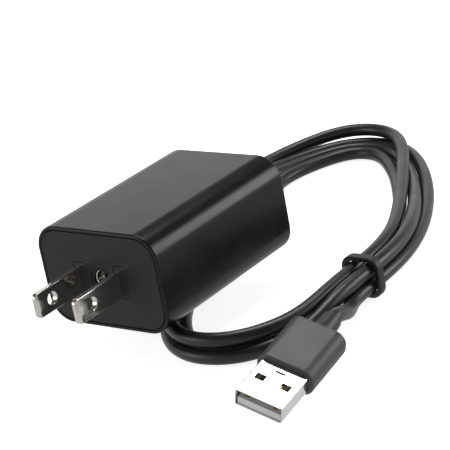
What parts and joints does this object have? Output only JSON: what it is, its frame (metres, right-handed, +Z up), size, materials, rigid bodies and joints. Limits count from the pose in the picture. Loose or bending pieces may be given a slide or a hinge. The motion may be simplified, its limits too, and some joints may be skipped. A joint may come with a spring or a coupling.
{
  "type": "usb wall charger",
  "caption": "Plug-in USB wall charger with two flat mains blades, resting on its wound USB charging lead held by a rubber ring.",
  "frame": {"origin": "centre of the wall face, between the two mains blades", "axes": "-Y out of the wall face along the blades into the outlet, +Y towards the USB port end, +X to the right seen from the blades, +Z up"},
  "size_m": [0.1028, 0.1632, 0.0341],
  "materials": {
    "housing_plastic": "fine moulded grain, satin",
    "plate_plastic": "fine moulded grain, satin",
    "insert_plastic": "smooth moulded",
    "nickel_plate": "bright nickel plate on brass",
    "sleeve_metal": "turned, bright",
    "screw_steel": "zinc plated",
    "spring_bronze": "rolled strip",
    "board_laminate": "glass laminate with green solder mask",
    "resistor_coating": "lacquer",
    "chip_resin": "moulded resin",
    "ferrite": "sintered, ground faces",
    "capacitor_sleeve": "shrunk sleeve",
    "bobbin_plastic": "moulded",
    "winding_tape": "polyester tape",
    "disc_ceramic": "lacquered disc",
    "port_steel": "nickel plated sheet",
    "port_plastic": "moulded",
    "contact_gold": "gold flash",
    "lead_jacket": "semi-gloss extruded jacket",
    "plug_steel": "bright plated sheet",
    "tongue_plastic": "moulded",
    "grip_plastic": "fine matte over-moulding",
    "relief_rubber": "moulded",
    "core_plastic": "moulded",
    "ring_rubber": "satin"
  },
  "bodies": {
    "charger": {"upper_shell": "housing_plastic", "lower_shell": "housing_plastic", "front_plate": "plate_plastic", "blade_insert_left": "insert_plastic", "blade_insert_right": "insert_plastic", "blade_left": "nickel_plate", "blade_right": "nickel_plate", "recess_sleeve": "sleeve_metal", "case_screw": "screw_steel", "contact_spring_left": "spring_bronze", "contact_spring_right": "spring_bronze", "circuit_board": "board_laminate", "fuse_resistor": "resistor_coating", "bridge_rectifier": "chip_resin", "input_choke": "ferrite", "input_capacitor_left": "capacitor_sleeve", "input_capacitor_right": "capacitor_sleeve", "transformer_core": "ferrite", "transformer_bobbin": "bobbin_plastic", "transformer_winding": "winding_tape", "y_capacitor": "disc_ceramic", "controller_chip": "chip_resin", "output_diode": "chip_resin", "output_capacitor": "capacitor_sleeve", "usb_port_shell": "port_steel", "usb_port_tongue": "port_plastic", "usb_port_contacts": "contact_gold"},
    "lead": {"lead_cable": "lead_jacket", "usb_plug_shell": "plug_steel", "usb_plug_tongue": "tongue_plastic", "usb_plug_contacts": "contact_gold", "usb_plug_grip": "grip_plastic", "usb_plug_relief": "relief_rubber", "device_plug_shell": "plug_steel", "device_plug_core": "core_plastic", "device_plug_grip": "grip_plastic", "device_plug_relief": "relief_rubber"},
    "tie": {"tie_ring": "ring_rubber"}
  },
  "joints": [
    {"name": "lead_clear", "type": "slide", "parent": "charger", "child": "lead", "axis": [1, 0, 0], "range_m": [0, 0.04]},
    {"name": "ring_slide", "type": "slide", "parent": "lead", "child": "tie", "axis": [0, 1, 0], "range_m": [-0.003, 0.003]}
  ]
}
